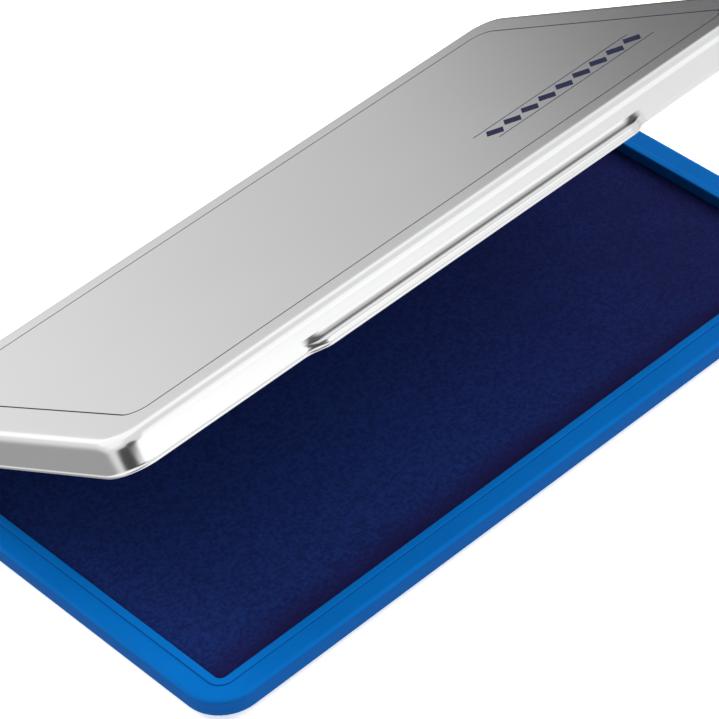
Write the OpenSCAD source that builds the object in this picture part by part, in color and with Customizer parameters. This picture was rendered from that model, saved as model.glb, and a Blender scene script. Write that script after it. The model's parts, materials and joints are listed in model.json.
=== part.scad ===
// Desk ink pad: a shallow moulded tray with a cloth-covered felt pad, and a hinged sheet-metal lid.
// Frame: +X along the length, +Y to the hinge side, +Z up.
// The origin is the centre of the tray's underside. The lid is drawn at its resting angle, part open.

/* [Pad] */
// Length of the visible pad
pad_l = 160; // [100:1:220]
// Width of the visible pad, front to back
pad_w = 90; // [60:1:130]
// Corner radius of the visible pad opening
pad_corner_r = 1.5; // [1:0.1:3.2]
// Thickness of the cloth cover
cloth_t = 0.5; // [0.3:0.05:0.8]
// Thickness of the felt ink reservoir
felt_t = 2.1; // [1:0.1:2.4]
// Thickness of the backing board
board_t = 0.6; // [0.4:0.1:1]

/* [Tray] */
// Width of the flat rim around the pad
rim_w = 6.2; // [5.1:0.1:8]
// Height of the tray, underside to rim
base_h = 6.3; // [5.5:0.1:10]
// Height of the tray's outer wall, which hangs from the rim and ends above the desk
skirt_h = 4.2; // [3.4:0.1:5.4]
// Outer corner radius of the tray in plan
base_corner_r = 8.8; // [7:0.1:12]
// Thickness of the tray floor
floor_t = 1; // [0.8:0.1:1.6]
// Thickness of the tray's outer wall
wall_t = 1.3; // [1:0.1:1.5]
// Thickness of the tray's inner wall, around the pad
well_t = 1.1; // [0.8:0.1:1.4]
// Thickness of the rim's top
rim_t = 1.3; // [1:0.1:2]
// Radius of the rim's outer top edge
rim_edge_r = 1; // [0.4:0.1:1.2]
// Radius of the bottom edges of the outer wall and of the foot
foot_edge_r = 0.6; // [0.3:0.1:0.9]
// Thickness of the stiffening ribs under the rim
rib_t = 1; // [0.8:0.1:2]
// Spacing of the stiffening ribs
rib_pitch = 20; // [12:1:30]

/* [Retaining frame] */
// Thickness of the frame that holds the cloth's edge down
frame_t = 1.8; // [1:0.1:2.2]
// Height of the frame's bead above the rim
bead_rise = 0.3; // [0.1:0.05:0.6]
// Radius of the bead's two top edges
bead_edge_r = 0.35; // [0.1:0.05:0.4]
// Length of each snap ridge on the frame
snap_l = 8; // [4:1:12]
// How far a snap ridge stands out of the frame
snap_out = 0.25; // [0.15:0.05:0.35]
// Number of snap ridges along each long side
snap_count = 3; // [2:1:4]

/* [Lid] */
// Height of the lid, outside
lid_h = 7; // [6.2:0.1:10]
// Thickness of the lid's sheet metal
sheet_t = 0.4; // [0.3:0.05:0.6]
// How far the lid stands out past the tray, each side
lid_over = 0.4; // [0.2:0.05:0.8]
// Outer corner radius of the lid in plan
lid_corner_r = 7.4; // [6:0.1:12]
// Outer radius of the lid's top edge
lid_edge_r = 2.5; // [1.2:0.1:2.6]
// Height of the curled hem along the lid's bottom edge
hem_h = 0.7; // [0.5:0.05:0.9]
// How far the hem stands out of the skirt
hem_out = 0.3; // [0.15:0.05:0.35]

/* [Finger lip] */
// Length of the straight part of the finger lip
lip_l = 78; // [30:1:90]
// How far the lip stands out of the front skirt
lip_out = 2.6; // [1.5:0.1:4]
// Height of the lip's ledge above the lid's bottom edge
lip_h = 1.9; // [1.4:0.1:2.6]
// Radius of the hollow where the skirt meets the ledge
lip_root_r = 1.3; // [0.5:0.1:1.5]
// Outer radius of the ledge's nose
lip_nose_r = 0.8; // [0.5:0.1:1.2]

/* [Hinge] */
// Distance of each hinge's middle from the centre
hinge_x = 48; // [25:1:60]
// Distance of the hinge axis behind the tray
hinge_back = 3; // [2.7:0.1:4]
// Length of each lid knuckle
knuckle_l = 12; // [9:0.5:18]
// Radius of the hinge pins
pin_r = 0.8; // [0.6:0.05:1]
// Thickness of the hinge leaves
leaf_t = 0.5; // [0.4:0.05:0.6]
// Height of the leaf's step above the lid's bottom edge
leaf_rise = 1.6; // [1.2:0.1:2]
// Corner radius of the leaf's plate
leaf_corner_r = 1; // [0.3:0.1:1.4]
// Width of each tray lug
lug_w = 4; // [3:0.5:6]
// Outer radius of the tray lugs
lug_r = 2; // [1.6:0.1:2.2]
// Radius of the rivet shanks
rivet_r = 0.6; // [0.4:0.05:0.7]
// Radius of the rivet heads
rivet_head_r = 1.15; // [0.9:0.05:1.3]
// Height of the rivet heads
rivet_head_h = 0.45; // [0.3:0.05:0.6]
// Distance between a leaf's two rivets
rivet_pitch = 6.5; // [4:0.5:10]

/* [Motion] */
// Angle of the lid from closed, as drawn
rest_open = 29.5; // [10:0.5:90]
// Angle of the lid from closed when it meets its stop
stop_open = 115; // [100:1:125]

/* [Fits] */
// Radial running clearance of the pins in the lid's knuckles
run_gap = 0.05; // [0.02:0.01:0.08]
// Radial interference of the pins in the tray's lugs
pin_bite = 0.01; // [0.005:0.005:0.02]
// Clearance on each side of a knuckle between its lugs
side_gap = 0.2; // [0.1:0.05:0.4]
// Gap left between the closed lid and the rim
seat_gap = 0.12; // [0.05:0.01:0.3]
// Gap left between the fully open lid and its stop
stop_gap = 0.1; // [0.05:0.01:0.2]
// Clearance around the pad's layers and around the frame
pad_gap = 0.05; // [0.03:0.01:0.15]
// Radial clearance of the rivets in their holes
rivet_gap = 0.05; // [0.02:0.01:0.1]
// How far the pins end inside the lugs' faces
pin_recess = 0.3; // [0.1:0.1:0.8]

/* [Hidden] */
$fn = 64;
eps = 0.01;

// Tray in plan, the well that takes the pad and the frame, and the foot, which is the well's outside
base_l = pad_l + 2 * rim_w;
base_w = pad_w + 2 * rim_w;
well_l = pad_l + 2 * (frame_t + pad_gap);
well_w = pad_w + 2 * (frame_t + pad_gap);
well_corner_r = pad_corner_r + frame_t + pad_gap;
foot_l = well_l + 2 * well_t;
foot_w = well_w + 2 * well_t;
foot_corner_r = well_corner_r + well_t;
skirt_z = base_h - skirt_h;

// Heights of the pad's layers
board_top = floor_t + board_t;
felt_top = board_top + felt_t;
flange_top = board_top + cloth_t;
snap_z = (flange_top + base_h) / 2;

// Closed lid
lid_l = base_l + 2 * lid_over;
lid_w = base_w + 2 * lid_over;
lid_z = base_h + seat_gap;
lid_back_y = lid_w / 2;

// Hinge axis and the leaf that reaches it
knuckle_r = pin_r + run_gap + leaf_t;
hinge_y = base_w / 2 + hinge_back;
step_z = lid_z + leaf_rise;
hinge_z = step_z + leaf_t - knuckle_r;
plate_top = lid_z + lid_h - lid_edge_r;
rivet_z = (step_z + leaf_t + plate_top) / 2;
pin_l = knuckle_l + 2 * (side_gap + lug_w - pin_recess);
lug_x = knuckle_l / 2 + side_gap + lug_w / 2;

// The lugs' rear corner meets the lid's back skirt when the lid is fully open
skirt_reach = hinge_y - lid_back_y;
stop_y = (skirt_reach - stop_gap - sin(stop_open) * lug_r) / -cos(stop_open);

// ---- Shared shapes ----

// Rectangle with round corners, centred
module round_rect(l, w, r) {
    square([l - 2 * r, w], center = true);
    square([l, w - 2 * r], center = true);
    for (sx = [-1, 1], sy = [-1, 1])
        translate([sx * (l / 2 - r), sy * (w / 2 - r)]) circle(r);
}

// Flat plate of that outline
module round_plate(l, w, r, h) {
    linear_extrude(h) round_rect(l, w, r);
}

// Carries a section round a rectangle. The section's x is the distance outward from the corner's centre
module sweep_rect(l, w, r) {
    dx = l / 2 - r;
    dy = w / 2 - r;
    for (s = [-1, 1]) {
        translate([0, s * dy, 0]) rotate([90, 0, s * 90])
            linear_extrude(2 * dx, center = true) children();
        translate([s * dx, 0, 0]) rotate([90, 0, 90 - s * 90])
            linear_extrude(2 * dy, center = true) children();
    }
    corners = [[1, 1], [-1, 1], [-1, -1], [1, -1]];
    for (i = [0:3])
        translate([corners[i][0] * dx, corners[i][1] * dy, 0])
            rotate(90 * i) rotate_extrude(angle = 90) children();
}

// Section of a block from its corner's centre outward, with a round top and bottom outer edge
module edge_section(r, h, top_r, bottom_r) {
    inset = max(top_r, bottom_r);
    square([r - inset, h]);
    translate([0, bottom_r]) square([r, h - top_r - bottom_r]);
    if (bottom_r > 0) {
        square([r - bottom_r, h / 2]);
        translate([r - bottom_r, bottom_r]) circle(bottom_r);
    } else
        square([r, h / 2]);
    translate([0, h / 2]) square([r - top_r, h / 2]);
    translate([r - top_r, h - top_r]) circle(top_r);
}

// Solid block with round corners and round outer edges
module round_block(l, w, r, h, top_r, bottom_r) {
    sweep_rect(l, w, r) edge_section(r, h, top_r, bottom_r);
    translate([r - l / 2, r - w / 2, 0]) cube([l - 2 * r, w - 2 * r, h]);
}

// A section drawn in the Y-Z plane, drawn out along X
module along_x(length) {
    rotate([90, 0, 90]) linear_extrude(length, center = true) children();
}

// Low dome, seated on z = 0
module dome(r, h) {
    sphere_r = (r * r + h * h) / (2 * h);
    rotate_extrude() intersection() {
        translate([0, h - sphere_r]) circle(sphere_r);
        square([r, h]);
    }
}

// Turns the closed lid about its hinge to the angle it rests at
module opened() {
    translate([0, hinge_y, hinge_z]) rotate([-rest_open, 0, 0])
        translate([0, -hinge_y, -hinge_z]) children();
}

// ---- Tray ----

// Lug that holds a pin's end: round at the front, square at the rear top, where it stops the lid
module lug_section() {
    translate([hinge_y, hinge_z]) {
        circle(lug_r);
        square([stop_y, lug_r]);
    }
    polygon([
        [base_w / 2 - wall_t / 2, skirt_z + foot_edge_r],
        [base_w / 2, skirt_z + foot_edge_r],
        [hinge_y + lug_r, hinge_z - lug_r],
        [hinge_y + lug_r, hinge_z],
        [hinge_y - lug_r, hinge_z],
        [hinge_y - lug_r, base_h - rim_edge_r],
        [base_w / 2 - wall_t / 2, base_h - rim_edge_r]
    ]);
}

module lugs() {
    for (side = [-1, 1], end = [-1, 1])
        translate([side * hinge_x + end * lug_x, 0, 0]) difference() {
            along_x(lug_w) lug_section();
            translate([0, hinge_y, hinge_z]) rotate([0, 90, 0])
                cylinder(r = pin_r - pin_bite, h = lug_w + 2, center = true);
        }
}

// Channel under the rim, between the outer wall and the foot, crossed by ribs
module rim_channel() {
    difference() {
        translate([0, 0, skirt_z - eps]) linear_extrude(skirt_h - rim_t + eps) difference() {
            round_rect(base_l - 2 * wall_t, base_w - 2 * wall_t, base_corner_r - wall_t);
            round_rect(foot_l, foot_w, foot_corner_r);
        }
        for (x = [-rib_pitch * floor(pad_l / 2 / rib_pitch):rib_pitch:pad_l / 2])
            translate([x - rib_t / 2, -base_w, 0]) cube([rib_t, 2 * base_w, base_h]);
        for (y = [-rib_pitch * floor(pad_w / 2 / rib_pitch):rib_pitch:pad_w / 2])
            translate([-base_l, y - rib_t / 2, 0]) cube([2 * base_l, rib_t, base_h]);
    }
}

// Snap ridges on the frame; with a gap, the slots that take them
module snaps(gap) {
    ridge_r = snap_out + gap;
    reach_x = pad_l / 2 + frame_t;
    reach_y = pad_w / 2 + frame_t;
    pitch = pad_l / (snap_count + 1);
    for (i = [1:snap_count], s = [-1, 1])
        translate([i * pitch - pad_l / 2, s * reach_y, snap_z]) rotate([0, 90, 0])
            cylinder(r = ridge_r, h = snap_l + 2 * gap, center = true);
    for (s = [-1, 1])
        translate([s * reach_x, 0, snap_z]) rotate([90, 0, 0])
            cylinder(r = ridge_r, h = snap_l + 2 * gap, center = true);
}

module base_tray() color([0.01, 0.35, 0.66]) {
    difference() {
        union() {
            translate([0, 0, skirt_z])
                round_block(base_l, base_w, base_corner_r, skirt_h, rim_edge_r, foot_edge_r);
            round_block(foot_l, foot_w, foot_corner_r, base_h - rim_t / 2, 0, foot_edge_r);
        }
        translate([0, 0, floor_t]) round_plate(well_l, well_w, well_corner_r, base_h);
        rim_channel();
        snaps(pad_gap);
    }
    lugs();
}

// ---- Pad ----

module backing_board() color([0.72, 0.64, 0.5])
    translate([0, 0, floor_t])
        round_plate(well_l - 2 * pad_gap, well_w - 2 * pad_gap, well_corner_r - pad_gap, board_t);

module felt_block(gap) {
    side = pad_gap + cloth_t + gap;
    translate([0, 0, board_top])
        round_plate(pad_l - 2 * side, pad_w - 2 * side, pad_corner_r - side, felt_t);
}

module ink_felt() color([0.05, 0.08, 0.3]) felt_block(pad_gap);

// Cloth cap over the felt, with a flange that lies on the board under the frame
module ink_cloth() color([0.07, 0.12, 0.3]) difference() {
    union() {
        translate([0, 0, board_top])
            round_block(pad_l - 2 * pad_gap, pad_w - 2 * pad_gap, pad_corner_r - pad_gap,
                felt_t + cloth_t, cloth_t, 0);
        translate([0, 0, board_top])
            round_plate(well_l - 2 * pad_gap, well_w - 2 * pad_gap, well_corner_r - pad_gap, cloth_t);
    }
    felt_block(0);
}

module frame_section() {
    h = base_h + bead_rise - flange_top;
    translate([pad_corner_r, 0]) {
        square([frame_t, h - bead_edge_r]);
        translate([bead_edge_r, 0]) square([frame_t - 2 * bead_edge_r, h]);
        for (x = [bead_edge_r, frame_t - bead_edge_r])
            translate([x, h - bead_edge_r]) circle(bead_edge_r);
    }
}

module retaining_frame() color([0.01, 0.33, 0.62]) {
    translate([0, 0, flange_top])
        sweep_rect(pad_l, pad_w, pad_corner_r) frame_section();
    difference() {
        snaps(0);
        translate([0, 0, floor_t])
            round_plate(pad_l + frame_t, pad_w + frame_t, pad_corner_r + frame_t / 2, base_h);
    }
}

// ---- Lid, drawn closed and then turned to its resting angle ----

// Section of the skirt, the top edge and the hem
module lid_section() {
    difference() {
        edge_section(lid_corner_r, lid_h, lid_edge_r, 0);
        translate([0, -eps])
            edge_section(lid_corner_r - sheet_t, lid_h - sheet_t + eps, lid_edge_r - sheet_t, 0);
    }
    intersection() {
        translate([lid_corner_r + hem_out - hem_h / 2, hem_h / 2]) circle(hem_h / 2);
        translate([lid_corner_r - sheet_t, 0]) square([sheet_t + hem_out, hem_h]);
    }
}

// Step that stands out of the skirt: x is the distance outward from the skirt's face
module lip_step(out, h, nose_r) {
    square([out, h - nose_r]);
    square([out - nose_r, h]);
    translate([out - nose_r, h - nose_r]) circle(nose_r);
}

module lip_body(out, h, nose_r, back) {
    translate([0, -lid_w / 2, lid_z]) {
        rotate([90, 0, -90]) linear_extrude(lip_l, center = true) {
            lip_step(out, h, nose_r);
            translate([-back, 0]) square([back + eps, h]);
        }
        for (s = [-1, 1])
            translate([s * lip_l / 2, 0, 0]) rotate(s > 0 ? -90 : 180)
                rotate_extrude(angle = 90) lip_step(out, h, nose_r);
    }
}

// Hollow where the skirt runs out onto the ledge
module lip_root() {
    translate([0, -lid_w / 2, lid_z + lip_h]) rotate([90, 0, -90])
        linear_extrude(lip_l, center = true) difference() {
            translate([-sheet_t / 2, -sheet_t / 2]) square(lip_root_r + sheet_t / 2);
            translate([lip_root_r, lip_root_r]) circle(lip_root_r);
        }
}

module rivet_places() {
    for (side = [-1, 1], end = [-1, 1])
        translate([side * hinge_x + end * rivet_pitch / 2, lid_back_y, rivet_z])
            rotate([-90, 0, 0]) children();
}

module closed_lid() difference() {
    union() {
        translate([0, 0, lid_z]) {
            sweep_rect(lid_l, lid_w, lid_corner_r) lid_section();
            translate([lid_corner_r - lid_l / 2, lid_corner_r - lid_w / 2, lid_h - sheet_t])
                cube([lid_l - 2 * lid_corner_r, lid_w - 2 * lid_corner_r, sheet_t]);
        }
        lip_body(lip_out, lip_h, lip_nose_r, sheet_t / 2);
        lip_root();
    }
    translate([0, 0, -eps])
        lip_body(lip_out - sheet_t, lip_h - sheet_t + eps, lip_nose_r - sheet_t, 2 * sheet_t);
    rivet_places()
        cylinder(r = rivet_r + rivet_gap, h = 4 * sheet_t, center = true);
}

module lid_shell() color([0.8, 0.81, 0.82]) opened() closed_lid();

// Sheet leaf: a plate on the back skirt, a step, and a curl round the pin
module leaf_section() {
    plate_y = lid_back_y + leaf_t;
    difference() {
        union() {
            translate([plate_y, step_z]) square([hinge_y - plate_y, leaf_t]);
            translate([lid_back_y, step_z + leaf_t]) square([leaf_t, leaf_t]);
            intersection() {
                translate([plate_y, step_z + leaf_t]) circle(leaf_t);
                translate([lid_back_y, step_z]) square([leaf_t + eps, leaf_t + eps]);
            }
            translate([hinge_y, hinge_z]) circle(knuckle_r);
        }
        translate([hinge_y, hinge_z]) circle(pin_r + run_gap);
        translate([hinge_y - knuckle_r - eps, hinge_z]) square([knuckle_r, leaf_t / 2]);
    }
}

module leaf_plate() {
    h = plate_top - step_z - leaf_t;
    translate([0, lid_back_y + leaf_t, step_z + leaf_t]) rotate([90, 0, 0])
        linear_extrude(leaf_t) {
            translate([-knuckle_l / 2, 0]) square([knuckle_l, h - leaf_corner_r]);
            translate([leaf_corner_r - knuckle_l / 2, 0]) square([knuckle_l - 2 * leaf_corner_r, h]);
            for (s = [-1, 1])
                translate([s * (knuckle_l / 2 - leaf_corner_r), h - leaf_corner_r])
                    circle(leaf_corner_r);
        }
}

module hinge_leaf(side) color([0.7, 0.71, 0.73]) opened() difference() {
    translate([side * hinge_x, 0, 0]) {
        along_x(knuckle_l) leaf_section();
        leaf_plate();
    }
    rivet_places()
        translate([0, 0, -leaf_t]) cylinder(r = rivet_r + rivet_gap, h = 3 * leaf_t);
}

module left_hinge_leaf() hinge_leaf(-1);

module right_hinge_leaf() hinge_leaf(1);

module hinge_rivets() color([0.78, 0.78, 0.8]) opened() rivet_places() {
    translate([0, 0, -sheet_t]) cylinder(r = rivet_r, h = sheet_t + leaf_t);
    translate([0, 0, leaf_t]) dome(rivet_head_r, rivet_head_h);
    translate([0, 0, -sheet_t]) rotate([180, 0, 0]) dome(rivet_head_r, rivet_head_h / 2);
}

// Plain steel pin with chamfered ends
module hinge_pin(side) color([0.6, 0.61, 0.63])
    translate([side * hinge_x, hinge_y, hinge_z]) rotate([0, 90, 0]) {
        chamfer = pin_r / 4;
        rotate_extrude() polygon([
            [0, -pin_l / 2],
            [pin_r - chamfer, -pin_l / 2],
            [pin_r, chamfer - pin_l / 2],
            [pin_r, pin_l / 2 - chamfer],
            [pin_r - chamfer, pin_l / 2],
            [0, pin_l / 2]
        ]);
    }

module left_hinge_pin() hinge_pin(-1);

module right_hinge_pin() hinge_pin(1);

base_tray();
backing_board();
ink_felt();
ink_cloth();
retaining_frame();
lid_shell();
left_hinge_leaf();
right_hinge_leaf();
hinge_rivets();
left_hinge_pin();
right_hinge_pin();
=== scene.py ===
"""Desk ink pad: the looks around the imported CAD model. Metres, in the CAD frame."""

import json
import math

import bmesh
import bpy
import numpy as np
from mathutils import Matrix, Vector


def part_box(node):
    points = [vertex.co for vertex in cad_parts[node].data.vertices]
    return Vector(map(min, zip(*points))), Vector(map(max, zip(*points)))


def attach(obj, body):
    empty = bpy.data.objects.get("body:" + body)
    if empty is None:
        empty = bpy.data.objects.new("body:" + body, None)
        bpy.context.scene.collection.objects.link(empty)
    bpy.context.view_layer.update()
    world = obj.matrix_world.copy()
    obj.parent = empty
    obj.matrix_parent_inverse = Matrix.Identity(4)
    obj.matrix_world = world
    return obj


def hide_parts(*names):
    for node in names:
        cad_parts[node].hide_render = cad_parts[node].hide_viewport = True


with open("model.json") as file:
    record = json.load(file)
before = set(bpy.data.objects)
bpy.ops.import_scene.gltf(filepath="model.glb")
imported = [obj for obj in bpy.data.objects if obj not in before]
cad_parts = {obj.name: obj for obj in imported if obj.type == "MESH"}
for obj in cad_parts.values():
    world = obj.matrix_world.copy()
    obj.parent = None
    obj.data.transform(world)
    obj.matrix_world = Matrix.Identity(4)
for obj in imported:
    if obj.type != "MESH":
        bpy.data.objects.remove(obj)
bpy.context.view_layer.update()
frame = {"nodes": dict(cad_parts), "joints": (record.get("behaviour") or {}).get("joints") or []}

MM = 0.001

# ---- What the frame says ----

JOINT = frame["joints"][0]
HINGE = Vector(JOINT["pos_m"])
REST_OPEN = math.radians(-JOINT["range_deg"][0])
OPENED = (
    Matrix.Translation(HINGE) @ Matrix.Rotation(-REST_OPEN, 4, "X") @ Matrix.Translation(-HINGE)
)

CLOTH_LOW, CLOTH_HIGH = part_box("ink_cloth")
FRAME_LOW, FRAME_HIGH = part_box("retaining_frame")
# From the frame's snaps, which are its widest places, in to the opening for the pad
FRAME_WALL = 2.05 * MM


def closed_lid_box():
    """The CAD lid's box with the lid shut: lowest and highest corner."""
    back = OPENED.inverted()
    points = np.array([back @ v.co for v in frame["nodes"]["lid_shell"].data.vertices])
    return Vector(points.min(0)), Vector(points.max(0))


LID_LOW, LID_HIGH = closed_lid_box()

# ---- Lid sizes ----

SHEET = 0.4 * MM
CORNER_R = 7.4 * MM
# The rolled hem: its radius, how far it stands out and where it meets the wall
HEM_R = 0.35 * MM
HEM_OUT = 0.3 * MM
HEM_TOP = 0.85 * MM
# The wall's inward curve, and the round edge over it: radius, width inward and first angle
WALL_CURVE = 0.0142 / MM
EDGE_R = 2.5 * MM
EDGE_IN = 2.3 * MM
EDGE_START = math.radians(7)
# The finger lip: how far it stands out, its height, radii, half length and run-out at each end
LIP_OUT = 2.6 * MM
LIP_H = 1.9 * MM
LIP_NOSE_R = 0.8 * MM
LIP_ROOT_R = 1.3 * MM
LIP_HALF = 38.4 * MM
LIP_TAPER = 6.2 * MM
# How finely the sheet is drawn
CORNER_STEPS = 20
HEM_STEPS = 18
NOSE_STEPS = 8
ROOT_STEPS = 10
EDGE_STEPS = 14
LONG_STEP = 3 * MM
TAPER_STEP = 0.3 * MM
TAPER_MARGIN = 0.4 * MM
WALL_STEP = 0.5 * MM
TOP_INSET = 0.7 * MM
LID_HALF_X = LID_HIGH.x - HEM_OUT
LID_HALF_Y = LID_HIGH.y - HEM_OUT
LID_Z = LID_LOW.z
LID_TOP = LID_HIGH.z

# ---- Mesh helpers ----


def new_object(name, vertices, faces):
    mesh = bpy.data.meshes.new(name)
    mesh.from_pydata([tuple(v) for v in vertices], [], faces)
    mesh.update()
    obj = bpy.data.objects.new(name, mesh)
    bpy.context.scene.collection.objects.link(obj)
    return obj


def smooth(obj, angle):
    """Shades smooth, with edges sharper than the angle, in degrees, kept."""
    mesh = obj.data
    mesh.polygons.foreach_set("use_smooth", [True] * len(mesh.polygons))
    mesh.set_sharp_from_angle(angle=math.radians(angle))


def face_outward(obj):
    bm = bmesh.new()
    bm.from_mesh(obj.data)
    bmesh.ops.recalc_face_normals(bm, faces=bm.faces)
    bm.to_mesh(obj.data)
    bm.free()


def rounded_outline(half_x, half_y, radius, arc_steps, along_x, along_y):
    """Points round a rectangle, anticlockwise from the front side's left end: (point, outward)."""
    sides = [
        (Vector((0, -1)), [Vector((x, -half_y)) for x in along_x]),
        (Vector((1, 0)), [Vector((half_x, y)) for y in along_y]),
        (Vector((0, 1)), [Vector((-x, half_y)) for x in along_x]),
        (Vector((-1, 0)), [Vector((-half_x, -y)) for y in along_y]),
    ]
    centres = [
        Vector((half_x - radius, radius - half_y)),
        Vector((half_x - radius, half_y - radius)),
        Vector((radius - half_x, half_y - radius)),
        Vector((radius - half_x, radius - half_y)),
    ]
    outline = []
    for i, (outward, points) in enumerate(sides):
        outline += [(p, outward) for p in points]
        for k in range(arc_steps + 1):
            angle = math.pi / 2 * (i - 1 + k / arc_steps)
            n = Vector((math.cos(angle), math.sin(angle)))
            outline.append((centres[i] + n * radius, n))
    return outline


def spread(low, high, step):
    """Evenly spaced values strictly between low and high, about a step apart."""
    count = max(1, round((high - low) / step))
    return [low + (high - low) * k / count for k in range(1, count)]


def arc(centre, radius, start, end, steps):
    """Points on an arc in a section, angles in degrees."""
    turns = [math.radians(start + (end - start) * k / steps) for k in range(steps + 1)]
    return [
        Vector((centre[0] + radius * math.cos(t), centre[1] + radius * math.sin(t)))
        for t in turns
    ]


def smoother(t):
    """0 to 1 with no kink at either end."""
    t = min(1.0, max(0.0, t))
    return t * t * t * (t * (6 * t - 15) + 10)


# ---- Node helpers ----


def material(name, colour, roughness, metallic=0.0):
    mat = bpy.data.materials.new(name)
    mat.use_nodes = True
    shader = mat.node_tree.nodes["Principled BSDF"]
    shader.inputs["Base Color"].default_value = (*colour, 1)
    shader.inputs["Roughness"].default_value = roughness
    shader.inputs["Metallic"].default_value = metallic
    return mat, mat.node_tree, shader


def own_coordinates(tree, scale=(1, 1, 1)):
    """The piece's own coordinates, in metres, scaled."""
    coordinates = tree.nodes.new("ShaderNodeTexCoord")
    mapping = tree.nodes.new("ShaderNodeMapping")
    mapping.inputs["Scale"].default_value = scale
    tree.links.new(coordinates.outputs["Object"], mapping.inputs["Vector"])
    return mapping.outputs["Vector"]


def noise(tree, vector, scale, detail=2.0, roughness=0.5, distortion=0.0):
    node = tree.nodes.new("ShaderNodeTexNoise")
    node.inputs["Scale"].default_value = scale
    node.inputs["Detail"].default_value = detail
    node.inputs["Roughness"].default_value = roughness
    node.inputs["Distortion"].default_value = distortion
    tree.links.new(vector, node.inputs["Vector"])
    return node.outputs["Fac"]


def bands(tree, vector, axis, scale, distortion):
    node = tree.nodes.new("ShaderNodeTexWave")
    node.wave_type = "BANDS"
    node.bands_direction = axis
    node.inputs["Scale"].default_value = scale
    node.inputs["Distortion"].default_value = distortion
    node.inputs["Detail"].default_value = 2
    node.inputs["Detail Scale"].default_value = 1.6
    tree.links.new(vector, node.inputs["Vector"])
    return node.outputs["Fac"]


def remap(tree, value, low, high, to_low, to_high, kind="LINEAR"):
    node = tree.nodes.new("ShaderNodeMapRange")
    node.interpolation_type = kind
    node.inputs["From Min"].default_value = low
    node.inputs["From Max"].default_value = high
    node.inputs["To Min"].default_value = to_low
    node.inputs["To Max"].default_value = to_high
    tree.links.new(value, node.inputs["Value"])
    return node.outputs["Result"]


def combine(tree, operation, a, b):
    node = tree.nodes.new("ShaderNodeMath")
    node.operation = operation
    tree.links.new(a, node.inputs[0])
    tree.links.new(b, node.inputs[1])
    return node.outputs["Value"]


def mix_colours(tree, factor, low, high):
    """A colour from low (at 0) to high (at 1); each is a colour or a socket."""
    node = tree.nodes.new("ShaderNodeMix")
    node.data_type = "RGBA"
    tree.links.new(factor, node.inputs["Factor"])
    for name, value in (("A", low), ("B", high)):
        socket = next(s for s in node.inputs if s.name == name and s.type == "RGBA")
        if isinstance(value, tuple):
            socket.default_value = (*value, 1)
        else:
            tree.links.new(value, socket)
    return next(s for s in node.outputs if s.type == "RGBA")


def bump(tree, shader, heights):
    """Chains bumps: (height socket, distance in metres, strength)."""
    normal = None
    for height, distance, strength in heights:
        node = tree.nodes.new("ShaderNodeBump")
        node.inputs["Distance"].default_value = distance
        node.inputs["Strength"].default_value = strength
        tree.links.new(height, node.inputs["Height"])
        if normal is not None:
            tree.links.new(normal, node.inputs["Normal"])
        normal = node.outputs["Normal"]
    tree.links.new(normal, shader.inputs["Normal"])


def darker(colour, share):
    return tuple(share * c for c in colour)


# ---- Materials ----

# Plastic: its own tone on faces that look up, and a darker copy on walls as painted shade, as if the
# light fell only from above
BLUE = (0.0012, 0.108, 0.385)
BLUE_LIGHT = (0.0016, 0.118, 0.41)
SHADED_WALL_BLUE = (0.001, 0.068, 0.26)
FRAME_BLUE = (0.0012, 0.112, 0.39)
FRAME_BLUE_LIGHT = (0.0018, 0.124, 0.42)
# Ink in the cloth
INK_BLUE = (0.0074, 0.0220, 0.119)
INK_DEEP = (0.0046, 0.0100, 0.063)
# Painted shade on the cloth, towards the right and along the front edge by the frame
CLOTH_SHADE_TONE = (0.0085, 0.0042, 0.036)
# Ink on the lid
PRINT_BLUE = (0.006, 0.007, 0.028)
PRINT_THIN = (0.014, 0.016, 0.05)
SILVER = (0.83, 0.832, 0.835)


def tray_plastic(name, colour, light, wall):
    """Satin moulded plastic: spark-eroded grain and faint flow marks, with painted shade that gives the
    walls a darker copy of the colour.
    """
    mat, tree, shader = material(name, colour, 0.46)
    shader.inputs["Specular IOR Level"].default_value = 0.03
    fine = noise(tree, own_coordinates(tree), 2600, 2, 0.6)
    flow = noise(tree, own_coordinates(tree, (1, 1, 2)), 55, 3, 0.5, 0.3)
    top = mix_colours(tree, remap(tree, flow, 0.3, 0.7, 0, 1), colour, light)
    # Painted shade: faces that turn from upward to upright get the darker wall colour, standing in for
    # light that falls from above.
    facing = tree.nodes.new("ShaderNodeSeparateXYZ")
    normal = tree.nodes.new("ShaderNodeTexCoord").outputs["Normal"]
    tree.links.new(normal, facing.inputs["Vector"])
    unshaded_share = remap(tree, facing.outputs["Z"], 0.15, 0.85, 0, 1, "SMOOTHSTEP")
    tree.links.new(mix_colours(tree, unshaded_share, wall, top), shader.inputs["Base Color"])
    tree.links.new(remap(tree, fine, 0.3, 0.7, 0.4, 0.54), shader.inputs["Roughness"])
    bump(tree, shader, [(fine, 0.01 * MM, 0.5), (flow, 0.05 * MM, 0.15)])
    return mat


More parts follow.
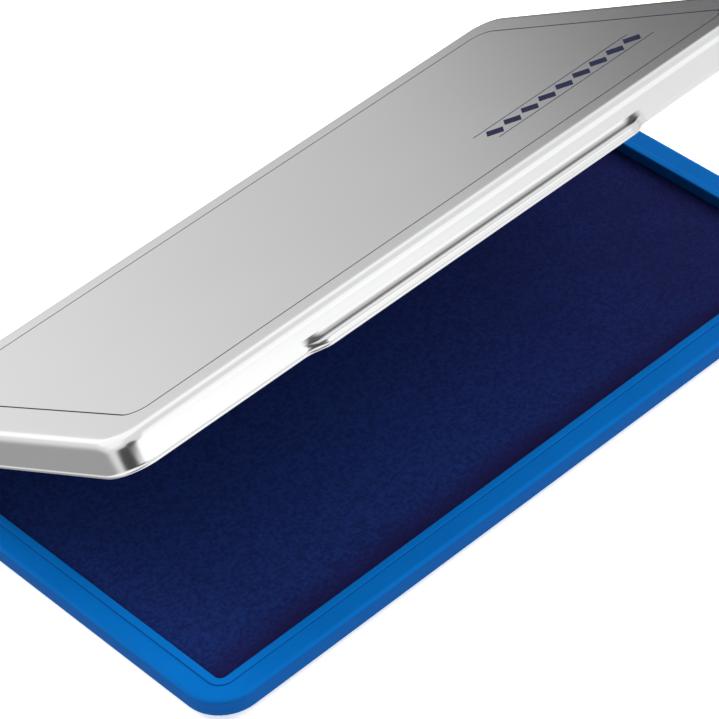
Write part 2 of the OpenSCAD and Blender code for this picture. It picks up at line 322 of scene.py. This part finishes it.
def satin_metal(name, colour, roughness):
    """Satin lacquer on tinplate: an even fine grain and faint rolling marks along the length, with
    painted shade in the fold over the lip.
    """
    mat, tree, shader = material(name, colour, roughness, 1.0)
    grain = noise(tree, own_coordinates(tree), 3400, 2, 0.7)
    rolled = noise(tree, own_coordinates(tree, (0.05, 1, 1)), 900, 3, 0.6)
    cloudy = noise(tree, own_coordinates(tree), 28, 2, 0.5)
    plain = mix_colours(
        tree, remap(tree, cloudy, 0.35, 0.65, 0, 1), darker(colour, 0.985), colour
    )
    # Painted shade: the lid's point attribute darkens the colour to 0.14 of itself in the crease over
    # the finger lip and at its ends, standing in for shadow there.
    fold_shade = tree.nodes.new("ShaderNodeAttribute")
    fold_shade.attribute_name = "fold_shade"
    tree.links.new(
        mix_colours(tree, fold_shade.outputs["Fac"], plain, darker(colour, 0.14)),
        shader.inputs["Base Color"],
    )
    tree.links.new(
        remap(tree, grain, 0.3, 0.7, roughness - 0.03, roughness + 0.03),
        shader.inputs["Roughness"],
    )
    bump(tree, shader, [(grain, 0.004 * MM, 0.35), (rolled, 0.003 * MM, 0.25)])
    return mat


def plated_steel(name, colour, roughness):
    """Zinc plate: soft blotches and fine scratches."""
    mat, tree, shader = material(name, colour, roughness, 1.0)
    blotch = noise(tree, own_coordinates(tree), 700, 3, 0.6)
    scratch = noise(tree, own_coordinates(tree, (1, 0.08, 0.08)), 5200, 2, 0.5)
    tree.links.new(
        mix_colours(tree, blotch, darker(colour, 0.82), colour), shader.inputs["Base Color"]
    )
    tree.links.new(
        remap(tree, blotch, 0.3, 0.7, roughness - 0.06, roughness + 0.08),
        shader.inputs["Roughness"],
    )
    bump(tree, shader, [(scratch, 0.004 * MM, 0.4)])
    return mat


def inked_cloth(name):
    """Fine cloth soaked with blue ink: a close weave, mottled where the ink lies deeper, with painted
    shade darkening it towards the right and along the front edge by the frame.
    """
    mat, tree, shader = material(name, INK_BLUE, 0.8)
    shader.inputs["Specular IOR Level"].default_value = 0.06
    shader.inputs["Sheen Weight"].default_value = 0.02
    shader.inputs["Sheen Tint"].default_value = (0.25, 0.3, 0.6, 1)
    plain = own_coordinates(tree)
    blots = noise(tree, plain, 1300, 2, 0.55)
    wide = noise(tree, plain, 90, 2, 0.5)
    weave = combine(
        tree, "MAXIMUM", bands(tree, plain, "X", 900, 1.2), bands(tree, plain, "Y", 900, 1.2)
    )
    shade = combine(
        tree,
        "MULTIPLY",
        remap(tree, blots, 0.36, 0.64, 0.1, 1),
        remap(tree, weave, 0, 1, 0.65, 1),
    )
    inked = mix_colours(tree, shade, INK_DEEP, INK_BLUE)
    place = tree.nodes.new("ShaderNodeSeparateXYZ")
    tree.links.new(plain, place.inputs["Vector"])
    half_x, front = FRAME_HIGH.x - FRAME_WALL, FRAME_LOW.y + FRAME_WALL
    # Painted shade: the colour darkens towards the right side and within 11 mm of the frame's front
    # edge, broken up a little by noise.
    painted_shade = combine(
        tree,
        "MAXIMUM",
        remap(tree, place.outputs["X"], -0.3 * half_x, 0.9 * half_x, 0, 0.55, "SMOOTHSTEP"),
        remap(tree, place.outputs["Y"], front + 11 * MM, front, 0, 1, "SMOOTHSTEP"),
    )
    painted_shade = combine(tree, "MULTIPLY", painted_shade, remap(tree, wide, 0.35, 0.6, 0.75, 1))
    tree.links.new(mix_colours(tree, painted_shade, inked, CLOTH_SHADE_TONE), shader.inputs["Base Color"])
    bump(tree, shader, [(weave, 0.03 * MM, 0.3), (blots, 0.06 * MM, 0.35)])
    return mat


def felt_fibres(name, colour):
    """Pressed felt: matted fibres."""
    mat, tree, shader = material(name, colour, 0.95)
    shader.inputs["Sheen Weight"].default_value = 0.2
    fibres = noise(tree, own_coordinates(tree, (1, 1, 4)), 1300, 5, 0.7, 2.5)
    tree.links.new(
        mix_colours(tree, fibres, darker(colour, 0.5), colour), shader.inputs["Base Color"]
    )
    bump(tree, shader, [(fibres, 0.15 * MM, 0.8)])
    return mat


def board_sheet(name, colour):
    """Plain extruded sheet with faint calender lines."""
    mat, tree, shader = material(name, colour, 0.55)
    lines = noise(tree, own_coordinates(tree, (0.06, 1, 1)), 800, 3, 0.6)
    tree.links.new(
        mix_colours(tree, lines, darker(colour, 0.9), colour), shader.inputs["Base Color"]
    )
    bump(tree, shader, [(lines, 0.01 * MM, 0.4)])
    return mat


def printed_ink(name, colour, faded):
    """Screen-printed ink: matt, a little thin in places."""
    mat, tree, shader = material(name, colour, 0.6)
    shader.inputs["Specular IOR Level"].default_value = 0.05
    thin = noise(tree, own_coordinates(tree), 2200, 3, 0.6)
    tree.links.new(
        mix_colours(tree, remap(tree, thin, 0.35, 0.7, 0, 1), colour, faded),
        shader.inputs["Base Color"],
    )
    bump(tree, shader, [(thin, 0.004 * MM, 0.4)])
    return mat


def dress_cad():
    hinge = plated_steel("hinge_steel", (0.62, 0.63, 0.65), 0.32)
    pin = plated_steel("pin_steel", (0.5, 0.5, 0.52), 0.28)
    finishes = {
        "base_tray": tray_plastic("tray_plastic", BLUE, BLUE_LIGHT, SHADED_WALL_BLUE),
        "retaining_frame": tray_plastic("frame_plastic", FRAME_BLUE, FRAME_BLUE_LIGHT, SHADED_WALL_BLUE),
        "backing_board": board_sheet("board_plastic", (0.45, 0.42, 0.35)),
        "ink_felt": felt_fibres("felt", (0.012, 0.02, 0.11)),
        "left_hinge_leaf": hinge,
        "right_hinge_leaf": hinge,
        "left_hinge_pin": pin,
        "right_hinge_pin": pin,
        "hinge_rivets": plated_steel("rivet_metal", (0.7, 0.7, 0.72), 0.38),
    }
    for node, finish in finishes.items():
        slots = frame["nodes"][node].data.materials
        slots.clear()
        slots.append(finish)


# ---- Lid ----


def hem_section():
    """The rolled hem, from the sheet's inner face round to its outer face."""
    centre = (HEM_OUT - HEM_R, HEM_R)
    roll = arc(centre, HEM_R, 180, 415, HEM_STEPS)
    hollow = Vector((0.06 * MM, 0.7 * MM))
    return roll + [hollow, Vector((0, HEM_TOP))]


def wall_lean(height):
    """The pressed wall leans in a little towards its top."""
    rise = max(0.0, height - HEM_TOP)
    return -WALL_CURVE * rise * rise


def skirt_section():
    """The outer face from the hem up to the flat top: (outward, height), and the lip's push outward."""
    nose = arc((LIP_OUT - LIP_NOSE_R, LIP_H - LIP_NOSE_R), LIP_NOSE_R, 0, 88, NOSE_STEPS)
    root = arc((LIP_ROOT_R, LIP_H + LIP_ROOT_R), LIP_ROOT_R, 268, 180, ROOT_STEPS)
    edge_foot = LID_TOP - LID_Z - EDGE_R
    wall = spread(root[-1].y, edge_foot + EDGE_R * math.sin(EDGE_START), WALL_STEP)
    section = [(p, LIP_OUT) for p in hem_section()]
    section += [(Vector((wall_lean(p.y), p.y)), p.x) for p in nose + root]
    section += [(Vector((wall_lean(z), z)), 0.0) for z in wall]
    for k in range(EDGE_STEPS + 1):
        t = EDGE_START + (math.pi / 2 - EDGE_START) * k / EDGE_STEPS
        p = Vector((EDGE_IN * math.cos(t) - EDGE_R, edge_foot + EDGE_R * math.sin(t)))
        section.append((p, 0.0))
    section.append((section[-1][0] - Vector((TOP_INSET, 0)), 0.0))
    return section


def fold_shade_weight(row, share):
    """How much painted shade a point gets in the fold over the lip, from 0 to 1: the lacquer's colour
    is darkened there to stand in for shadow in the crease.

    The row is counted up the outer face from the fold's first point. The fold is deepest just above
    the ledge, and both of its ends, where the lip's share is about a half, are as deep.
    """
    deepest, reach = 1.5, 5
    along = share * max(0.0, 1 - abs(row - deepest) / reach) if row >= 0 else 0.0
    end = 4 * share * (1 - share) if -3 <= row <= 8 else 0.0
    return min(1.0, along + end)


def lid_stations():
    """Outline points with the lip's share at each: close together where the lip tapers."""
    taper_end = LIP_HALF + LIP_TAPER + TAPER_MARGIN
    taper = spread(LIP_HALF - TAPER_MARGIN, taper_end, TAPER_STEP)
    plain = spread(taper[-1], LID_HALF_X - CORNER_R, LONG_STEP)
    middle = spread(-taper[0], taper[0], LONG_STEP)
    along_x = [-x for x in reversed(taper + plain)] + middle + taper + plain
    along_y = spread(CORNER_R - LID_HALF_Y, LID_HALF_Y - CORNER_R, LONG_STEP)
    outline = rounded_outline(LID_HALF_X, LID_HALF_Y, CORNER_R, CORNER_STEPS, along_x, along_y)
    return [
        (p, n, 1 - smoother((abs(p.x) - LIP_HALF) / LIP_TAPER) if n.y < -0.9999 else 0.0)
        for p, n in outline
    ]


def inner_face(outer):
    """The section one sheet further in."""
    inner = []
    for k, p in enumerate(outer):
        along = outer[min(k + 1, len(outer) - 1)] - outer[max(k - 1, 0)]
        inner.append(p + Vector((-along.y, along.x)).normalized() * SHEET)
    return inner


def build_lid(metal):
    """Pressed sheet: an outer skin and an inner skin one sheet apart, joined by the rolled hem."""
    hem_points = len(hem_section())
    skirt = skirt_section()
    loops, shares = None, []
    for point, outward, share in lid_stations():
        shares.append(share)
        section = [p + Vector((share * push, 0)) for p, push in skirt]
        ring = section + inner_face(section[hem_points:])[::-1]
        placed = [Vector((*(point + outward * p.x), LID_Z + p.y)) for p in ring]
        loops = loops or [[] for _ in placed]
        for loop, v in zip(loops, placed):
            loop.append(v)
    count = len(loops[0])
    vertices = [OPENED @ v for loop in loops for v in loop]
    faces = []
    for a in range(len(loops)):
        b = (a + 1) % len(loops)
        if a == len(skirt) - 1:
            # The flat top: the outer skin's sheet and the inner skin's
            faces.append(tuple(range(a * count, (a + 1) * count)))
            faces.append(tuple(range(b * count, (b + 1) * count)))
            continue
        for i in range(count):
            j = (i + 1) % count
            faces.append((a * count + i, a * count + j, b * count + j, b * count + i))
    lid = new_object("lid_sheet", vertices, faces)
    # Painted shade: a point attribute that darkens the lacquer in the crease over the finger lip and at
    # the lip's ends.
    fold_shade = lid.data.attributes.new("fold_shade", "FLOAT", "POINT")
    first = hem_points + NOSE_STEPS + 1
    fold_shade.data.foreach_set(
        "value", [fold_shade_weight(a - first, share) for a in range(len(loops)) for share in shares]
    )
    face_outward(lid)
    smooth(lid, 40)
    lid.data.materials.append(metal)
    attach(lid, "lid")
    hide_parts("lid_shell")


# ---- Print on the lid ----

PRINT_T = 0.012 * MM
LINE_W = 0.36 * MM
# The border line: it stands a little further in at the left and the back
BORDER_R = 4 * MM
BORDER_STEPS = 16
BORDER_STEP = 8 * MM
BORDER_X = (-76.4 * MM, 78.0 * MM)
BORDER_Y = (-43.6 * MM, 42.9 * MM)
# The band of small diamonds between two lines
BAND_X = (27 * MM, 70 * MM)
BAND_Y = -24 * MM
BAND_H = 9 * MM
DIAMONDS = 9
DIAMOND_W = 4.2 * MM
DIAMOND_H = 6.4 * MM


def layer(outer, inner=None):
    """A thin layer on the lid's top: a filled outline, or the ring between two outlines."""
    n = len(outer)
    vertices, faces = [], []
    for loop in [outer] + ([inner] if inner else []):
        base = len(vertices)
        vertices += [Vector((*p, z)) for z in (LID_TOP, LID_TOP + PRINT_T) for p in loop]
        faces += [
            (base + i, base + (i + 1) % n, base + n + (i + 1) % n, base + n + i)
            for i in range(n)
        ]
    for level in (0, n):
        if inner:
            faces += [
                (level + i, level + (i + 1) % n, 2 * n + level + (i + 1) % n, 2 * n + level + i)
                for i in range(n)
            ]
        else:
            faces.append(tuple(range(level, level + n)))
    return vertices, faces


def printed(name, shapes, ink):
    vertices, faces = [], []
    for shape_vertices, shape_faces in shapes:
        base = len(vertices)
        vertices += [OPENED @ v for v in shape_vertices]
        faces += [tuple(base + i for i in f) for f in shape_faces]
    piece = new_object(name, vertices, faces)
    face_outward(piece)
    piece.data.materials.append(ink)
    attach(piece, "lid")


def print_border(ink):
    centre = Vector((sum(BORDER_X) / 2, sum(BORDER_Y) / 2))
    half_x = (BORDER_X[1] - BORDER_X[0]) / 2
    half_y = (BORDER_Y[1] - BORDER_Y[0]) / 2
    outline = rounded_outline(
        half_x,
        half_y,
        BORDER_R,
        BORDER_STEPS,
        spread(BORDER_R - half_x, half_x - BORDER_R, BORDER_STEP),
        spread(BORDER_R - half_y, half_y - BORDER_R, BORDER_STEP),
    )
    outer = [centre + p + n * LINE_W / 2 for p, n in outline]
    inner = [centre + p - n * LINE_W / 2 for p, n in outline]
    printed("lid_border_line", [layer(outer, inner)], ink)


def print_band(ink):
    shapes = []
    for k in range(DIAMONDS):
        x = BAND_X[0] + (BAND_X[1] - BAND_X[0]) * (k + 0.5) / DIAMONDS
        reach = ((DIAMOND_W / 2, 0), (0, DIAMOND_H / 2))
        corners = [Vector(r) * s for s in (1, -1) for r in reach]
        shapes.append(layer([Vector((x, BAND_Y)) + c for c in corners]))
    for side in (-1, 1):
        y = BAND_Y + side * BAND_H / 2
        low, high = y - LINE_W / 2, y + LINE_W / 2
        corners = [(BAND_X[0], low), (BAND_X[1], low), (BAND_X[1], high), (BAND_X[0], high)]
        shapes.append(layer([Vector(c) for c in corners]))
    printed("lid_diamond_band", shapes, ink)


# ---- Pad ----

CLOTH_T = 0.4 * MM
PAD_CELL = 1.6 * MM
PAD_CORNER_R = 1.4 * MM
# The gap to the frame, and the top of the flange that lies under it
PAD_GAP = 0.05 * MM
FLANGE_TOP = 2.05 * MM
# How far the edge is rounded down, and how far the middle swells
PAD_SHOULDER = 0.25 * MM
PAD_CROWN = 0.12 * MM
# The cloth is simulated ten times as large, so that the solver's own limits don't show
SIM_SCALE = 10.0
SIM_FRAMES = 20
SIM_PRESSURE = 0.6


def drawn_corner(x, y, half_x, half_y, radius):
    """A grid point, with those in the corner squares drawn in to a round corner."""
    u = (abs(x) - (half_x - radius)) / radius
    v = (abs(y) - (half_y - radius)) / radius
    if u <= 0 or v <= 0:
        return x, y
    share = max(u, v) / math.hypot(u, v)
    return (
        math.copysign(half_x - radius + u * share * radius, x),
        math.copysign(half_y - radius + v * share * radius, y),
    )


def pad_sheet():
    """The cloth as laid: a flat top, turned down at the frame and held flat under it."""
    half_x = FRAME_HIGH.x - FRAME_WALL - PAD_GAP
    half_y = FRAME_HIGH.y - FRAME_WALL - PAD_GAP
    columns, rows = round(2 * half_x / PAD_CELL), round(2 * half_y / PAD_CELL)
    top = CLOTH_HIGH.z - PAD_CROWN
    vertices = []
    for j in range(rows + 1):
        for i in range(columns + 1):
            x, y = half_x * (2 * i / columns - 1), half_y * (2 * j / rows - 1)
            x, y = drawn_corner(x, y, half_x, half_y, PAD_CORNER_R)
            vertices.append(Vector((x, y, top)))
    width = columns + 1
    faces = [
        (j * width + i, j * width + i + 1, (j + 1) * width + i + 1, (j + 1) * width + i)
        for j in range(rows)
        for i in range(columns)
    ]
    edge = list(range(width))
    edge += [j * width + columns for j in range(1, rows + 1)]
    edge += [rows * width + i for i in range(columns - 1, -1, -1)]
    edge += [j * width for j in range(rows - 1, 0, -1)]
    for i in edge:
        vertices[i].z = top - PAD_SHOULDER / 2
    flange = CLOTH_HIGH.x - half_x
    for out, z in ((0, top - PAD_SHOULDER), (0, FLANGE_TOP + 0.3 * MM), (flange, FLANGE_TOP)):
        start = len(vertices)
        for i in edge:
            p = vertices[i]
            vertices.append(Vector((p.x * (half_x + out) / half_x, p.y * (half_y + out) / half_y, z)))
        n = len(edge)
        faces += [
            (edge[(i + 1) % n], edge[i], start + i, start + (i + 1) % n) for i in range(n)
        ]
        edge = list(range(start, start + n))
    held = list(range((rows + 1) * width + len(edge), len(vertices)))
    return vertices, faces, held


def swell(pad, held):
    """Lets the cloth swell over the wet felt, with its edge held under the frame.

    Only the shape of the swelling is kept: it is scaled to rise by the crown's height.
    """
    group = pad.vertex_groups.new(name="held")
    group.add(held, 1.0, "REPLACE")
    pad.data.transform(Matrix.Scale(SIM_SCALE, 4))
    modifier = pad.modifiers.new("Cloth", "CLOTH")
    settings = modifier.settings
    settings.quality = 8
    settings.effector_weights.gravity = 0
    settings.vertex_group_mass = "held"
    settings.use_pressure = True
    settings.uniform_pressure_force = SIM_PRESSURE
    settings.tension_stiffness = 20
    settings.compression_stiffness = 20
    settings.shear_stiffness = 8
    settings.bending_stiffness = 2
    modifier.collision_settings.use_collision = False
    modifier.point_cache.frame_start = 1
    modifier.point_cache.frame_end = SIM_FRAMES
    scene = bpy.context.scene
    for number in range(1, SIM_FRAMES + 1):
        scene.frame_set(number)
    graph = bpy.context.evaluated_depsgraph_get()
    moved = np.array([v.co for v in pad.evaluated_get(graph).data.vertices]) / SIM_SCALE
    pad.modifiers.remove(modifier)
    pad.data.transform(Matrix.Scale(1 / SIM_SCALE, 4))
    scene.frame_set(1)
    rest = np.array([v.co for v in pad.data.vertices])
    rise = moved[:, 2] - rest[:, 2]
    rest[:, 2] += rise.clip(0) * PAD_CROWN / rise.max()
    pad.data.vertices.foreach_set("co", rest.astype(np.float32).ravel())
    pad.data.update()


def apply_modifiers(obj):
    graph = bpy.context.evaluated_depsgraph_get()
    obj.data = bpy.data.meshes.new_from_object(obj.evaluated_get(graph))
    obj.modifiers.clear()


def build_pad(cloth):
    vertices, faces, held = pad_sheet()
    pad = new_object("ink_pad_cloth", vertices, faces)
    swell(pad, held)
    thick = pad.modifiers.new("Thickness", "SOLIDIFY")
    thick.thickness = CLOTH_T
    thick.offset = -1
    finer = pad.modifiers.new("Finer", "SUBSURF")
    finer.levels = finer.render_levels = 1
    apply_modifiers(pad)
    face_outward(pad)
    smooth(pad, 60)
    pad.data.materials.append(cloth)
    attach(pad, "tray")
    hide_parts("ink_cloth")


# ---- Camera ----

CAMERA_AIM = Vector((-2.571, 1.144, 5.599)) * MM
CAMERA_DISTANCE = 751.86 * MM
CAMERA_AZIMUTH = -36.932
CAMERA_ELEVATION = 41.933
CAMERA_ROLL = 8.319
CAMERA_LENS = 186.31


def add_camera():
    azimuth, elevation, roll = (
        math.radians(a) for a in (CAMERA_AZIMUTH, CAMERA_ELEVATION, CAMERA_ROLL)
    )
    back = Vector((
        math.sin(azimuth) * math.cos(elevation),
        -math.cos(azimuth) * math.cos(elevation),
        math.sin(elevation),
    ))
    right = (-back).cross(Vector((0, 0, 1))).normalized()
    down = (-back).cross(right)
    x = right * math.cos(roll) + down * math.sin(roll)
    y = right * math.sin(roll) - down * math.cos(roll)
    data = bpy.data.cameras.new("Camera")
    data.lens = CAMERA_LENS
    data.sensor_width = 36
    data.clip_start = 0.01
    camera = bpy.data.objects.new("Camera", data)
    bpy.context.scene.collection.objects.link(camera)
    turn = Matrix((x, y, back)).transposed().to_4x4()
    camera.matrix_world = Matrix.Translation(CAMERA_AIM + back * CAMERA_DISTANCE) @ turn
    bpy.context.scene.camera = camera


# ---- Surroundings ----

# A hair below the tray, so that their faces don't coincide
FLOOR_Z = -0.05 * MM
FLOOR_HALF = 4.0


def add_floor():
    """Seamless pale paper under the pad."""
    mat, tree, shader = material("studio_paper", (0.93, 0.93, 0.93), 0.9)
    shader.inputs["Specular IOR Level"].default_value = 0.1
    shader.inputs["Emission Color"].default_value = (1, 1, 1, 1)
    shader.inputs["Emission Strength"].default_value = 0.55
    bump(tree, shader, [(noise(tree, own_coordinates(tree), 900, 3, 0.6), 0.03 * MM, 0.2)])
    signs = ((-1, -1), (1, -1), (1, 1), (-1, 1))
    corners = [(x * FLOOR_HALF, y * FLOOR_HALF, FLOOR_Z) for x, y in signs]
    floor = new_object("studio_floor", corners, [(0, 1, 2, 3)])
    floor.data.materials.append(mat)
    floor.visible_glossy = False


# What the sheet metal mirrors: (bearing from +Y towards +X, height, inner and outer angle, brightness).
# Later ones cover earlier ones.
AMBIENT = 0.84
SURROUNDINGS = [
    ("front softbox", 173, 15, 17, 27, 1.32),
    ("front sweep", 172, -28, 22, 38, 1.1),
    ("softbox top left", 150, 40, 8, 17, 1.25),
    ("softbox top right", 130, 52, 8, 15, 1.15),
    ("overhead softbox", -8, 40, 32, 42, 1.16),
    ("left softbox", -65, 40, 15, 32, 1.1),
    ("back panel", 5, 3, 9, 18, 1.22),
    ("dim lower left", -55, -43, 26, 50, 0.38),
    ("dark stand", -128, 4, 14, 28, 0.06),
    ("dark stand above", -146, 34, 10, 22, 0.08),
    ("dim room", 50, -11, 18, 29, 0.52),
    ("dark room", 50, -11, 15, 20, 0.07),
]


def heading(bearing, height):
    bearing, height = math.radians(bearing), math.radians(height)
    across = math.cos(height)
    return Vector((math.sin(bearing) * across, math.cos(bearing) * across, math.sin(height)))


def add_world():
    world = bpy.data.worlds.new("Studio")
    bpy.context.scene.world = world
    world.use_nodes = True
    tree = world.node_tree
    shader = tree.nodes["Background"]
    direction = tree.nodes.new("ShaderNodeTexCoord").outputs["Generated"]
    colour = (AMBIENT,) * 3
    for name, bearing, height, inner, outer, level in SURROUNDINGS:
        dot = tree.nodes.new("ShaderNodeVectorMath")
        dot.label = name
        dot.operation = "DOT_PRODUCT"
        dot.inputs[1].default_value = heading(bearing, height)
        tree.links.new(direction, dot.inputs[0])
        share = remap(
            tree,
            dot.outputs["Value"],
            math.cos(math.radians(outer)),
            math.cos(math.radians(inner)),
            0,
            1,
            "SMOOTHSTEP",
        )
        colour = mix_colours(tree, share, colour, (level,) * 3)
    tree.links.new(colour, shader.inputs["Color"])


def add_light(name, place, aim, size, watts):
    data = bpy.data.lights.new(name, "AREA")
    data.shape = "DISK"
    data.size = size
    data.energy = watts
    light = bpy.data.objects.new(name, data)
    bpy.context.scene.collection.objects.link(light)
    light.location = place
    light.rotation_euler = (Vector(aim) - Vector(place)).to_track_quat("-Z", "Y").to_euler()
    light.visible_glossy = False


def add_studio():
    add_floor()
    add_world()
    add_light("Key", (-0.6, 0.9, 1.3), (0, 0, 0), 0.8, 13)
    add_light("Fill", (1.0, -0.4, 0.7), (0, 0, 0), 0.8, 13)
    bpy.context.scene.view_settings.view_transform = "Standard"


# ---- Build ----

dress_cad()
build_lid(satin_metal("lid_silver", SILVER, 0.2))
ink = printed_ink("print_blue", PRINT_BLUE, PRINT_THIN)
print_border(ink)
print_band(ink)
build_pad(inked_cloth("inked_cloth"))
add_camera()
add_studio()
